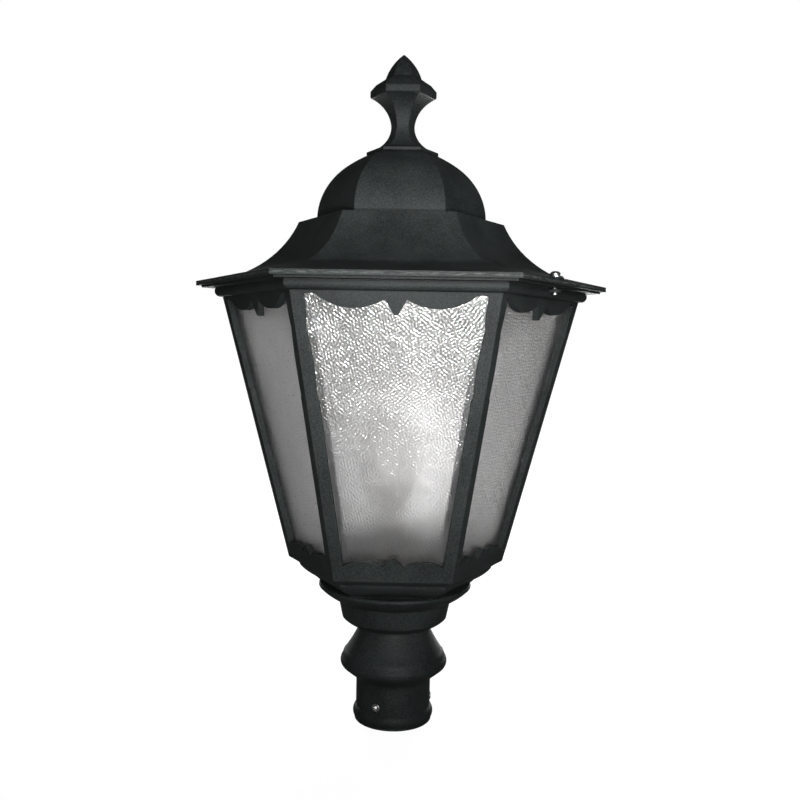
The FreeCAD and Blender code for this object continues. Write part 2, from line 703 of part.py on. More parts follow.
def base_tray():
    """The hexagonal moulded tray: a hollow casting whose top is the lantern's floor."""
    seat = TRAY_SEAT
    rim = TRAY_RIM
    under = FLOOR - FLOOR_THICKNESS
    wall = TRAY_WALL
    cove = TRAY_COVE
    middle = TRAY_COVE_MIDDLE
    shoulder = CAGE_FOOT - TRAY_SHOULDER
    lip_top = FLOOR + LIP_HEIGHT
    outer = FRAME_THICKNESS + FIXED_FIT
    inner = outer + LIP_THICKNESS
    body = hexagonal([
        (0, FLOOR), (cage_face(FLOOR) - inner, FLOOR), (cage_face(lip_top) - inner, lip_top),
        (cage_face(lip_top) - outer, lip_top), (cage_face(FLOOR) - outer, FLOOR),
        (cage_face(FLOOR), FLOOR), (shoulder, FLOOR - TRAY_TOP_EDGE),
        (shoulder - TRAY_STEP / 3, FLOOR - TRAY_TOP_EDGE - TRAY_STEP),
        ((rim + middle[0], seat + middle[1]), (rim + cove[0], seat + cove[1])), (rim, seat),
        (rim - wall, seat), (rim - wall + cove[0], seat + cove[1] + wall / 2),
        (rim + middle[0] - wall / 2, seat + middle[1] + wall * 0.7),
        (shoulder - wall * 1.6, under), (0, under),
    ])
    for x, y in ring_places(TIE_BOLT_CIRCLE, BOLT_COUNT, 0):
        body = body.fuse(rod(TIE_BOLT_BOSS, seat, FLOOR - 1, x, y))
    holes = [rod(INLET_RADIUS, under - 1, FLOOR + 1, *INLET_PLACE)]
    for x, y in ring_places(TIE_BOLT_CIRCLE, BOLT_COUNT, 0):
        holes.append(rod(BOLT_RADIUS + FIXED_FIT, seat - 1, FLOOR + 1, x, y))
    for x in (-STRAP_SCREW_SPREAD, STRAP_SCREW_SPREAD):
        holes.append(rod(SMALL_SCREW_RADIUS + FIXED_FIT, FLOOR - SCREW_BITE, FLOOR + 1, x, 0))
    for x in (-BLOCK_SCREW_SPREAD, BLOCK_SCREW_SPREAD):
        hole = rod(SMALL_SCREW_RADIUS + FIXED_FIT, FLOOR - SCREW_BITE, FLOOR + 1, x, BLOCK_PLACE)
        holes.append(hole)
    x, y = EARTH_PLACE
    holes.append(rod(SMALL_SCREW_RADIUS + FIXED_FIT, FLOOR - SCREW_BITE, FLOOR + 1, x, y))
    lip = cage_face(LIP_SCREW_HEIGHT) - inner
    for side in range(SIDES):
        for x in (-SIDE_SCREW_SPREAD, SIDE_SCREW_SPREAD):
            radius = SMALL_SCREW_RADIUS + FIXED_FIT
            hole = out_rod(radius, lip - wall, lip + 2 * wall, x, LIP_SCREW_HEIGHT)
            holes.append(to_side(hole, side))
    return body.cut(Part.makeCompound(holes))


# ---- roof ----------------------------------------------------------------------------
def roof_skirt():
    """The sweeping lower roof: a hollow casting with a stepped rim and a latch pad."""
    seat = ROOF_SEAT
    wall = ROOF_WALL
    foot = ROOF_RIM - RIM_BAND_INSET - BRIM_FOOT_WIDTH
    top = DOME_SEAT
    run = ROOF_RIM - ROOF_TOP
    bend = (ROOF_TOP + run * SWEEP_END_SHARE[0], seat + ROOF_HEIGHT * SWEEP_END_SHARE[1])
    sweep = (ROOF_TOP + run * SWEEP_MIDDLE_SHARE[0], seat + ROOF_HEIGHT * SWEEP_MIDDLE_SHARE[1])
    body = hexagonal([
        (foot, seat), (ROOF_RIM - RIM_BAND_INSET, seat), (ROOF_RIM - RIM_BAND_INSET, seat + RIM_BAND),
        (ROOF_RIM, seat + RIM_BAND), (ROOF_RIM, seat + RIM_HEIGHT), bend,
        (sweep, (ROOF_TOP, top)), (ROOF_VENT, top), (ROOF_VENT, top - wall),
        (ROOF_TOP - wall, top - wall),
        ((sweep[0] - wall * 0.7, sweep[1] - wall * 0.9), (bend[0] - wall * 0.4, bend[1] - wall)),
        (foot - wall, seat + RIM_HEIGHT + wall / 3),
    ])
    reach = LATCH_REACH
    pad_top = seat + LATCH_PAD_HEIGHT
    pad = to_side(rod(LATCH_PAD_RADIUS, seat + RIM_BAND, pad_top, 0, -reach), LATCH_SIDE)
    sink = to_side(rod(LATCH_PAD_RADIUS, pad_top, pad_top + RIM_HEIGHT, 0, -reach), LATCH_SIDE)
    radius = LATCH_SCREW_RADIUS + SLIDE_FIT
    hole = to_side(rod(radius, seat - 1, pad_top + 1, 0, -reach), LATCH_SIDE)
    body = body.fuse(pad).removeSplitter().cut(sink).cut(hole)
    return body.cut(Part.makeCompound(leaf_screw_shapes(FIXED_FIT)))


def roof_dome():
    """The hollow dome that stands on the skirt's top ledge."""
    seat = DOME_SEAT
    wall = DOME_WALL
    shares = (HAUNCH_SHARE, SHOULDER_SHARE, CROWN_SHARE)
    haunch, shoulder, crown = [(DOME_FOOT * s[0], seat + DOME_HEIGHT * s[1]) for s in shares]
    body = hexagonal([
        (DOME_FOOT - wall, seat), (DOME_FOOT, seat), (haunch, shoulder), (crown, (DOME_TOP, FINIAL_SEAT)),
        (0, FINIAL_SEAT), (0, FINIAL_SEAT - wall), (DOME_TOP - wall / 3, FINIAL_SEAT - wall),
        ((crown[0] - wall / 2, crown[1] - wall), (shoulder[0] - wall * 0.7, shoulder[1] - wall * 0.8)),
        ((haunch[0] - wall, haunch[1] - wall * 0.2), (DOME_FOOT - wall, seat)),
    ])
    return body.cut(rod(STUD_RADIUS + FIXED_FIT, FINIAL_SEAT - 2 * wall, FINIAL_SEAT + 1))


def finial():
    """The hexagonal finial: a waisted stem, a collar and a pointed cap."""
    seat = FINIAL_SEAT
    band = FINIAL_BAND
    rim = seat + FINIAL_FOOT_RIM
    step = FINIAL_FOOT_STEP
    neck = seat + FINIAL_NECK_HEIGHT
    eave = seat + FINIAL_BAND_FOOT
    cone = seat + FINIAL_CONE_FOOT
    tip = seat + FINIAL_HEIGHT
    body = hexagonal([
        (0, seat), (FINIAL_FOOT, seat), (FINIAL_FOOT, rim), (FINIAL_FOOT - step, rim + step / 2),
        ((FINIAL_NECK + FINIAL_NECK_SWEEP, (seat + neck) / 2), (FINIAL_NECK, neck)),
        ((FINIAL_NECK + FINIAL_NECK_FLARE[0], neck + FINIAL_NECK_FLARE[1]), (band - step / 2, eave - step)),
        (band, eave), (band, seat + FINIAL_BAND_TOP),
        (FINIAL_CONE + FINIAL_EAVE[0], cone - FINIAL_EAVE[1]), (FINIAL_CONE, cone),
        ((FINIAL_CONE_MIDDLE[0], tip - FINIAL_CONE_MIDDLE[1]), (0, tip)),
    ])
    return body.cut(rod(STUD_RADIUS + FIXED_FIT, seat - 1, seat + STUD_BITE))


def finial_stud():
    """Threaded rod from the finial down through the dome and the bridge."""
    return rod(STUD_RADIUS, BRIDGE_TOP - BRIDGE_THICKNESS - STUD_END, FINIAL_SEAT + STUD_BITE - 1)


def roof_bridge():
    """Flat bar under the skirt's top ledge that the rod pulls up against."""
    low = BRIDGE_TOP - BRIDGE_THICKNESS
    half = ROOF_TOP - ROOF_WALL - BRIDGE_END_GAP
    bar = box((-half, -BRIDGE_WIDTH / 2, low), (half, BRIDGE_WIDTH / 2, BRIDGE_TOP))
    return bar.cut(rod(STUD_RADIUS + FIXED_FIT, low - 1, BRIDGE_TOP + 1))


def reflector():
    """A shallow spun reflector held under the bridge."""
    top = BRIDGE_TOP - BRIDGE_THICKNESS
    sheet = REFLECTOR_SHEET
    edge = REFLECTOR_RADIUS
    low = top - REFLECTOR_SKIRT
    bend = edge - REFLECTOR_FLARE
    lip = edge + REFLECTOR_LIP
    return turned([
        (STUD_RADIUS + FIXED_FIT, top), (bend, top), (edge, low + sheet), (lip, low + sheet),
        (lip, low), (edge - sheet, low), (bend - sheet, top - sheet),
        (STUD_RADIUS + FIXED_FIT, top - sheet),
    ])


def roof_washer():
    """Washer under the reflector."""
    top = BRIDGE_TOP - BRIDGE_THICKNESS - REFLECTOR_SHEET
    disc = rod(WASHER_RADIUS, top - WASHER_THICKNESS, top)
    return disc.cut(rod(STUD_RADIUS + FIXED_FIT, top - WASHER_THICKNESS - 1, top + 1))


def roof_nut():
    """Nut that draws the finial, dome, skirt and bridge together."""
    top = BRIDGE_TOP - BRIDGE_THICKNESS - REFLECTOR_SHEET - WASHER_THICKNESS
    nut = hex_rod(NUT_ACROSS, top - NUT_HEIGHT, top)
    return nut.cut(rod(STUD_RADIUS + FIXED_FIT, top - NUT_HEIGHT - 1, top + 1))


def roof_seal():
    """Foam seal between the cornice ring and the roof."""
    outer = CORNICE_FACE - SEAL_INSET
    inner = outer - SEAL_WIDTH
    return hexagonal([
        (inner, CORNICE_TOP), (outer, CORNICE_TOP), (outer, ROOF_SEAT), (inner, ROOF_SEAT),
    ])


# ---- hinge and latch -----------------------------------------------------------------
def hinge_bracket():
    """Fixed half of the hinge: a plate on the side frame with two knuckles."""
    top = HINGE_PLATE_TOP
    low = top - HINGE_PLATE_HEIGHT
    foot = low + HINGE_ARM_RISE
    reach = HINGE_REACH
    high = HINGE_HEIGHT
    thick = HINGE_PLATE_THICKNESS
    plate = along_side(slab(0, -thick, low, top), -HINGE_PLATE_HALF, HINGE_PLATE_HALF)
    arm = [
        (cage_face(foot) + thick / 4, foot), (cage_face(top) + thick / 4, top),
        (reach, top), (reach, high - KNUCKLE_RADIUS),
    ]
    inner = ROOF_KNUCKLE_HALF + HINGE_GAP
    outer = HINGE_HALF_WIDTH
    body = plate
    for start, end in ((-outer, -inner), (inner, outer)):
        body = body.fuse(along_side(arm, start, end))
        body = body.fuse(across_rod(KNUCKLE_RADIUS, start, end, reach, high))
    radius = HINGE_PIN_RADIUS + FIXED_FIT
    body = body.cut(across_rod(radius, -outer - 1, outer + 1, reach, high))
    face = cage_face(HINGE_SCREW_HEIGHT)
    for x in (-HINGE_SCREW_SPREAD, HINGE_SCREW_SPREAD):
        radius = SMALL_SCREW_RADIUS + FIXED_FIT
        body = body.cut(out_rod(radius, face - thick, face + 2 * thick, x, HINGE_SCREW_HEIGHT))
    return to_side(body.removeSplitter(), HINGE_SIDE)


def hinge_bracket_screws():
    """Pan-head screws that hold the fixed half of the hinge."""
    shapes = []
    face = cage_face(HINGE_SCREW_HEIGHT)
    seat = face + HINGE_PLATE_THICKNESS + HEAD_STAND
    for x in (-HINGE_SCREW_SPREAD, HINGE_SCREW_SPREAD):
        tip = face - SCREW_BITE + LOOSE_FIT
        shank = out_rod(SMALL_SCREW_RADIUS, tip, seat, x, HINGE_SCREW_HEIGHT)
        head = out_rod(SMALL_HEAD_RADIUS, seat, seat + SMALL_HEAD_HEIGHT, x, HINGE_SCREW_HEIGHT)
        shapes.append(to_side(shank.fuse(head), HINGE_SIDE))
    return Part.makeCompound(shapes)


def hinge_pin():
    """Pin with a head, through the knuckles of both halves."""
    outer = HINGE_HALF_WIDTH
    end = HINGE_PIN_END
    pin = across_rod(HINGE_PIN_RADIUS, -outer - end, outer, HINGE_REACH, HINGE_HEIGHT)
    head = across_rod(HINGE_PIN_HEAD, outer, outer + end, HINGE_REACH, HINGE_HEIGHT)
    return to_side(pin.fuse(head), HINGE_SIDE)


def hinge_leaf():
    """Moving half of the hinge: a leaf under the brim with one knuckle."""
    reach = HINGE_REACH
    high = HINGE_HEIGHT
    half = ROOF_KNUCKLE_HALF
    under = ROOF_SEAT - LEAF_THICKNESS
    inner = CORNICE_FACE + LEAF_GAP
    outer = ROOF_RIM - RIM_BAND_INSET
    leaf = box((-HINGE_HALF_WIDTH, -outer, under), (HINGE_HALF_WIDTH, -inner, ROOF_SEAT))
    web = box((-half, -reach - HINGE_WEB / 2, high), (half, -reach + HINGE_WEB / 2, ROOF_SEAT))
    knuckle = across_rod(KNUCKLE_RADIUS, -half, half, reach, high)
    body = leaf.fuse(web).fuse(knuckle).removeSplitter()
    body = body.cut(across_rod(HINGE_PIN_RADIUS + SLIDE_FIT, -half - 1, half + 1, reach, high))
    return to_side(body, HINGE_SIDE).cut(Part.makeCompound(leaf_screw_shapes(FIXED_FIT)))


def leaf_screw_shapes(spare):
    """Countersunk screws up through the leaf into the brim, grown by a clearance."""
    shapes = []
    radius = SMALL_SCREW_RADIUS + spare
    head = SMALL_HEAD_RADIUS + spare
    under = ROOF_SEAT - LEAF_THICKNESS
    sink = SMALL_HEAD_RADIUS - SMALL_SCREW_RADIUS
    for x in (-LEAF_SCREW_SPREAD, LEAF_SCREW_SPREAD):
        one = turned([
            (0, under), (head, under), (radius, under + sink),
            (radius, ROOF_SEAT + SCREW_BITE), (0, ROOF_SEAT + SCREW_BITE),
        ])
        one.translate(FreeCAD.Vector(x, -HINGE_REACH, 0))
        shapes.append(to_side(one, HINGE_SIDE))
    return shapes


def latch_screw():
    """Domed screw that goes down through the brim into the cornice's lug."""
    seat = ROOF_SEAT + LATCH_PAD_HEIGHT + LATCH_WASHER_THICKNESS
    tip = CORNICE_TOP - LATCH_TIP
    rim = LATCH_HEAD_RADIUS
    dome = seat + LATCH_HEAD_HEIGHT
    body = turned([
        (0, tip), (LATCH_SCREW_RADIUS - 0.6, tip), (LATCH_SCREW_RADIUS, tip + 0.6),
        (LATCH_SCREW_RADIUS, seat), (rim, seat), (rim, seat + LATCH_HEAD_RIM),
        ((rim * 0.72, dome - 0.7), (APEX_FLAT, dome)), (0, dome),
    ])
    body.translate(FreeCAD.Vector(0, -LATCH_REACH, 0))
    return to_side(body, LATCH_SIDE)


def latch_washer():
    """Washer that rides under the latch screw's head."""
    low = ROOF_SEAT + LATCH_PAD_HEIGHT
    ring = rod(LATCH_WASHER_RADIUS, low, low + LATCH_WASHER_THICKNESS, 0, -LATCH_REACH)
    hole = rod(LATCH_SCREW_RADIUS + FIXED_FIT, low - 1, low + 2 * LATCH_WASHER_THICKNESS, 0, -LATCH_REACH)
    return to_side(ring.cut(hole), LATCH_SIDE)


# ---- lamp holder, lamp and wiring ----------------------------------------------------
def holder_strap():
    """Flat strap across the floor that carries the lamp holder."""
    half = STRAP_LENGTH / 2
    top = FLOOR + STRAP_THICKNESS
    strap = box((-half, -STRAP_WIDTH / 2, FLOOR), (half, STRAP_WIDTH / 2, top))
    holes = []
    for x in (-STRAP_SCREW_SPREAD, STRAP_SCREW_SPREAD):
        holes.append(rod(SMALL_SCREW_RADIUS + FIXED_FIT, FLOOR - 1, top + 1, x, 0))
    for x in (-RIVET_SPREAD, RIVET_SPREAD):
        holes.append(rod(SMALL_SCREW_RADIUS + FIXED_FIT, FLOOR - 1, top + 1, x, 0))
    return strap.cut(Part.makeCompound(holes))


def strap_screws():
    """Two pan-head screws that hold the strap to the floor."""
    tip = FLOOR - SCREW_BITE + LOOSE_FIT
    seat = FLOOR + STRAP_THICKNESS
    spread = STRAP_SCREW_SPREAD
    return Part.makeCompound([
        screw(SMALL_SCREW_RADIUS, SMALL_HEAD_RADIUS, SMALL_HEAD_HEIGHT, tip, seat, x, 0)
        for x in (-spread, spread)
    ])


def holder_rivets():
    """Two rivets from the strap up into the lamp holder's foot."""
    top = HOLDER_SEAT + HOLDER_FLOOR - 1
    return Part.makeCompound([
        rod(SMALL_SCREW_RADIUS, FLOOR, top, x, 0) for x in (-RIVET_SPREAD, RIVET_SPREAD)
    ])


def lamp_holder():
    """Porcelain lamp holder, open at its top."""
    seat = HOLDER_SEAT
    top = HOLDER_TOP
    bore = SHELL_OUTER + FIXED_FIT
    body = turned([
        (0, seat), (HOLDER_FLANGE_RADIUS, seat), (HOLDER_FLANGE_RADIUS, seat + HOLDER_FLANGE - 2),
        ((HOLDER_FLANGE_RADIUS - 0.7, seat + HOLDER_FLANGE - 0.6), (HOLDER_RADIUS, seat + HOLDER_FLANGE)),
        (HOLDER_RADIUS, top - 2), ((HOLDER_RADIUS - 0.6, top - 0.6), (HOLDER_RADIUS - 2, top)),
        (bore, top), (bore, seat + HOLDER_FLOOR), (0, seat + HOLDER_FLOOR),
    ])
    for x in (-RIVET_SPREAD, RIVET_SPREAD):
        body = body.cut(rod(SMALL_SCREW_RADIUS + FIXED_FIT, seat - 1, seat + HOLDER_FLOOR - 0.8, x))
    return body


def holder_shell():
    """Brass liner of the lamp holder that the lamp's cap screws into."""
    low = HOLDER_SEAT + HOLDER_FLOOR
    high = HOLDER_TOP - 1
    bore = CAP_RADIUS + SLIDE_FIT
    return turned([(bore, low), (SHELL_OUTER, low), (SHELL_OUTER, high), (bore, high)])


def centre_contact():
    """Brass contact at the bottom of the lamp holder."""
    low = HOLDER_SEAT + HOLDER_FLOOR
    return rod(LAMP_TIP_RADIUS, low, low + CONTACT_HEIGHT)


def lamp_cap():
    """Screw cap of the lamp, with its contact button."""
    tip = HOLDER_SEAT + HOLDER_FLOOR + CONTACT_HEIGHT
    foot = tip + LAMP_TIP_HEIGHT
    return turned([
        (0, tip), (LAMP_TIP_RADIUS, tip), (CAP_RADIUS - 3, foot), (CAP_RADIUS, foot + 2),
        (CAP_RADIUS, LAMP_BODY_FOOT), (0, LAMP_BODY_FOOT),
    ])


def lamp_body():
    """Flared plastic body of the lamp."""
    foot = LAMP_BODY_FOOT
    top = foot + LAMP_BODY_HEIGHT
    return turned([
        (0, foot), (LAMP_NECK_RADIUS, foot),
        ((LAMP_NECK_RADIUS + 4.2, foot + LAMP_BODY_HEIGHT * 0.5), (LAMP_BODY_RADIUS, top)), (0, top),
    ])


def lamp_globe():
    """Opal globe of the lamp."""
    foot = LAMP_BODY_FOOT + LAMP_BODY_HEIGHT
    radius = LAMP_GLOBE_RADIUS
    middle = foot + LAMP_GLOBE_HEIGHT * 0.45
    slope = radius * math.cos(math.pi / 4)
    rise = (LAMP_GLOBE_HEIGHT * 0.55) * math.sin(math.pi / 4)
    return turned([
        (0, foot), (LAMP_BODY_RADIUS, foot),
        ((radius * 0.98, foot + (middle - foot) * 0.6), (radius, middle)),
        ((slope, middle + rise), (APEX_FLAT, foot + LAMP_GLOBE_HEIGHT)),
        (0, foot + LAMP_GLOBE_HEIGHT),
    ])


def terminal_block():
    """Terminal block on the floor behind the lamp holder."""
    wide, deep, high = BLOCK_SIZE
    y = BLOCK_PLACE
    body = box((-wide / 2, y - deep / 2, FLOOR), (wide / 2, y + deep / 2, FLOOR + high))
    for x in (-BLOCK_SCREW_SPREAD, BLOCK_SCREW_SPREAD):
        body = body.cut(rod(SMALL_SCREW_RADIUS + FIXED_FIT, FLOOR - 1, FLOOR + high + 1, x, y))
        sunk = FLOOR + high - SMALL_HEAD_HEIGHT - 1
        body = body.cut(rod(SMALL_HEAD_RADIUS + FIXED_FIT, sunk, FLOOR + high + 1, x, y))
    return body


def terminal_screws():
    """Two screws sunk in the terminal block."""
    seat = FLOOR + BLOCK_SIZE[2] - SMALL_HEAD_HEIGHT - 1
    tip = FLOOR - SCREW_BITE + LOOSE_FIT
    spread = BLOCK_SCREW_SPREAD
    return Part.makeCompound([
        screw(SMALL_SCREW_RADIUS, SMALL_HEAD_RADIUS, SMALL_HEAD_HEIGHT, tip, seat, x, BLOCK_PLACE)
        for x in (-spread, spread)
    ])


def lead_wires():
    """Two insulated leads from the terminal block into the side of the lamp holder."""
    start = BLOCK_PLACE - BLOCK_SIZE[1] / 2
    low = FLOOR + WIRE_HEIGHT
    wires = []
    for x in (-WIRE_SPREAD, WIRE_SPREAD):
        end = math.sqrt(HOLDER_RADIUS ** 2 - (abs(x) + WIRE_RADIUS) ** 2)
        run = (start - end) / 4
        points = [
            FreeCAD.Vector(x, start, low), FreeCAD.Vector(x, start - run * 1.3, low),
            FreeCAD.Vector(x, end + run * 1.3, low + WIRE_RISE), FreeCAD.Vector(x, end, low + WIRE_RISE),
        ]
        wires.append(tube(points, WIRE_RADIUS))
    return Part.makeCompound(wires)


def tube(points, radius):
    """A round tube along straight runs with a tangent arc at each inner point."""
    edges = []
    here = points[0]
    for before, corner, after in zip(points, points[1:], points[2:]):
        back = before - corner
        ahead = after - corner
        reach = 0.45 * min(back.Length, ahead.Length)
        half_turn = (HALF_TURN - math.degrees(back.getAngle(ahead))) / 2
        bend = reach / math.tan(math.radians(half_turn))
        arc_start = corner + FreeCAD.Vector(back).normalize() * reach
        arc_end = corner + FreeCAD.Vector(ahead).normalize() * reach
        inward = (FreeCAD.Vector(back).normalize() + FreeCAD.Vector(ahead).normalize()).normalize()
        centre = corner + inward * math.hypot(reach, bend)
        arc_middle = centre - inward * bend
        edges.append(Part.LineSegment(here, arc_start).toShape())
        edges.append(Part.Arc(arc_start, arc_middle, arc_end).toShape())
        print("lead bend radius", round(bend, 2))
        here = arc_end
    edges.append(Part.LineSegment(here, points[-1]).toShape())
    path = Part.Wire(edges)
    ring = Part.Circle(points[0], points[1] - points[0], radius).toShape()
    body = path.makePipeShell([Part.Wire([ring])], True, False)
    wanted = math.pi * radius ** 2 * path.Length
    print("lead volume over section times length", round(body.Volume / wanted, 4))
    return body


def cable_grommet():
    """Rubber grommet in the floor's cable inlet."""
    under = FLOOR - FLOOR_THICKNESS
    neck = INLET_RADIUS - FIXED_FIT
    body = turned([
        (GROMMET_BORE, under - GROMMET_LIP), (GROMMET_FLANGE, under - GROMMET_LIP),
        (GROMMET_FLANGE, under), (neck, under), (neck, FLOOR), (GROMMET_FLANGE, FLOOR),
        (GROMMET_FLANGE, FLOOR + GROMMET_LIP), (GROMMET_BORE, FLOOR + GROMMET_LIP),
    ])
    body.translate(FreeCAD.Vector(*INLET_PLACE, 0))
    return body


def earth_screw():
    """Brass earth screw and washer on the floor."""
    x, y = EARTH_PLACE
    tip = FLOOR - SCREW_BITE + LOOSE_FIT
    seat = FLOOR + EARTH_WASHER
    body = screw(SMALL_SCREW_RADIUS, SMALL_HEAD_RADIUS, SMALL_HEAD_HEIGHT, tip, seat, x, y)
    return body.fuse(rod(EARTH_WASHER_RADIUS, FLOOR, seat, x, y))


# ---- places that need the helpers ----------------------------------------------------
LIP_SCREW_HEIGHT = FLOOR + LIP_HEIGHT / 2
TOP_SCREW_REACH = (cage_face(CAGE_TOP) - FRAME_THICKNESS + cage_face(CAGE_TOP - TOP_SCREW_BITE)) / 2
HINGE_PLATE_TOP = CAGE_TOP - CORNICE_DROP - HINGE_PLATE_DROP
HINGE_SCREW_HEIGHT = HINGE_PLATE_TOP - HINGE_PLATE_HEIGHT / 2
SHELL_OUTER = CAP_RADIUS + SLIDE_FIT + HOLDER_SHELL
LAMP_BODY_FOOT = HOLDER_TOP + LAMP_CLEARANCE


def build():
    """Every sub-part by name."""
    pieces = {
        "post_socket": post_socket(),
        "base_dish": base_dish(),
        "base_tray": base_tray(),
        "neck_bolts": neck_bolts(),
        "tie_bolts": tie_bolts(),
        "cornice_ring": cornice_ring(),
        "roof_seal": roof_seal(),
        "corner_strips": corner_strips(),
        "frame_screws": frame_screws(),
        "cornice_screws": cornice_screws(),
        "roof_skirt": roof_skirt(),
        "roof_dome": roof_dome(),
        "finial": finial(),
        "finial_stud": finial_stud(),
        "roof_bridge": roof_bridge(),
        "reflector": reflector(),
        "roof_washer": roof_washer(),
        "roof_nut": roof_nut(),
        "hinge_bracket": hinge_bracket(),
        "hinge_bracket_screws": hinge_bracket_screws(),
        "hinge_pin": hinge_pin(),
        "hinge_leaf": hinge_leaf(),
        "hinge_leaf_screws": Part.makeCompound(leaf_screw_shapes(0)),
        "latch_screw": latch_screw(),
        "latch_washer": latch_washer(),
        "holder_strap": holder_strap(),
        "strap_screws": strap_screws(),
        "holder_rivets": holder_rivets(),
        "lamp_holder": lamp_holder(),
        "holder_shell": holder_shell(),
        "centre_contact": centre_contact(),
        "lamp_cap": lamp_cap(),
        "lamp_body": lamp_body(),
        "lamp_globe": lamp_globe(),
        "terminal_block": terminal_block(),
        "terminal_screws": terminal_screws(),
        "lead_wires": lead_wires(),
        "cable_grommet": cable_grommet(),
        "earth_screw": earth_screw(),
    }
    plain_frame = side_frame()
    glass = pane()
    for side in range(SIDES):
        frame = hinge_side_frame() if side == HINGE_SIDE else plain_frame
        pieces[f"side_frame_{side + 1}"] = to_side(frame, side)
        pieces[f"pane_{side + 1}"] = to_side(glass, side)
    for index in range(SET_SCREW_COUNT):
        pieces[f"set_screw_{index + 1}"] = set_screw(index)
    return pieces


os.makedirs("parts", exist_ok=True)
for name, shape in build().items():
    shape.exportStep(f"parts/{name}.step")
    solids = len(shape.Solids)
    print(f"{name}: {solids} solids, valid {shape.isValid()}, {shape.Volume / 1000:.1f} cm3")
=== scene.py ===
"""A six-sided post top lantern dressed for its picture: camera, light, finishes and glass."""
import json
import math

import bmesh
import bpy
import numpy as np
from mathutils import Matrix, Vector


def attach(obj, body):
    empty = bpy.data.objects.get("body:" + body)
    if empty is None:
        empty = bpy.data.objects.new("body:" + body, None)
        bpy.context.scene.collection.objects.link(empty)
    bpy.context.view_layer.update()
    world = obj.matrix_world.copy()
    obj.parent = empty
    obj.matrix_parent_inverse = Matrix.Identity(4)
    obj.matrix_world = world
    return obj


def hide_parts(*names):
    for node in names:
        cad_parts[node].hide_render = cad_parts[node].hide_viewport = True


MM = 0.001
SIDES = 6
SIDE_STEP = math.radians(360.0 / SIDES)

# camera, fitted to the corners of the roof, cage and base
CAMERA_DISTANCE = 0.9183
CAMERA_HEIGHT = 0.38545
CAMERA_ROUND = math.radians(1.22)
CAMERA_YAW = math.radians(0.12)
CAMERA_PITCH = math.radians(3.60)
CAMERA_ROLL = math.radians(1.02)
SENSOR = 36.0
FOCAL_PIXELS = 908.6
PICTURE_PIXELS = 800
LENS = SENSOR * FOCAL_PIXELS / PICTURE_PIXELS

# the leaning cage, as the frame's solids have it
FLOOR = 165.2 * MM
CAGE_FOOT = 94.66 * MM
CAGE_SLOPE = 0.2288
LEAN = math.atan(CAGE_SLOPE)
HALF_SIDE = math.tan(math.pi / SIDES)
FRAME_THICKNESS = 6.15 * MM
PANE_THICKNESS = 4.1 * MM
PANE_INSET = 6.9 * MM
PANE_FOOT = 175.0 * MM
PANE_TOP = 430.9 * MM


# ---- camera --------------------------------------------------------------------------
def photo_camera():
    """Places the camera where the picture was taken from."""
    heading = CAMERA_ROUND - CAMERA_YAW
    place = Vector((math.sin(CAMERA_ROUND), -math.cos(CAMERA_ROUND), 0)) * CAMERA_DISTANCE
    place.z = CAMERA_HEIGHT
    level = math.cos(CAMERA_PITCH)
    ahead = Vector((-math.sin(heading) * level, math.cos(heading) * level, -math.sin(CAMERA_PITCH)))
    turn = ahead.to_track_quat("-Z", "Y").to_matrix() @ Matrix.Rotation(CAMERA_ROLL, 3, "Z")
    data = bpy.data.cameras.new("photo_camera")
    data.sensor_width = SENSOR
    data.lens = LENS
    data.clip_start = 0.01
    data.clip_end = 50.0
    camera = bpy.data.objects.new("photo_camera", data)
    camera.matrix_world = Matrix.Translation(place) @ turn.to_4x4()
    bpy.context.scene.collection.objects.link(camera)
    bpy.context.scene.camera = camera


# ---- shader writing ------------------------------------------------------------------
GENERATED, OBJECT = 0, 3  # places of two outputs of the Texture Coordinate node


class Wire:
    """A shader output that takes part in sums: an expression on wires adds Math nodes."""

    def __init__(self, nodes, socket):
        self.nodes = nodes
        self.socket = socket

    def maths(self, operation, *terms):
        return self.nodes.node("Math", {"operation": operation}, *terms)

    def __add__(self, other):
        return self.maths("ADD", self, other)

    def __sub__(self, other):
        return self.maths("SUBTRACT", self, other)

    def __rsub__(self, other):
        return self.maths("SUBTRACT", other, self)

    def __mul__(self, other):
        return self.maths("MULTIPLY", self, other)

    def most(self, other):
        """The larger of two values."""
        return self.maths("MAXIMUM", self, other)

    def above(self, low, high):
        """Rises smoothly from 0 at low to 1 at high."""
        settings = {"interpolation_type": "SMOOTHSTEP"}
        return self.nodes.node("MapRange", settings, self, low, high, 0.0, 1.0)

    def near(self, middle, reach):
        """1 at a value, falling smoothly to 0 a given reach away from it."""
        return 1 - self.maths("ABSOLUTE", self - middle).above(0.0, reach)


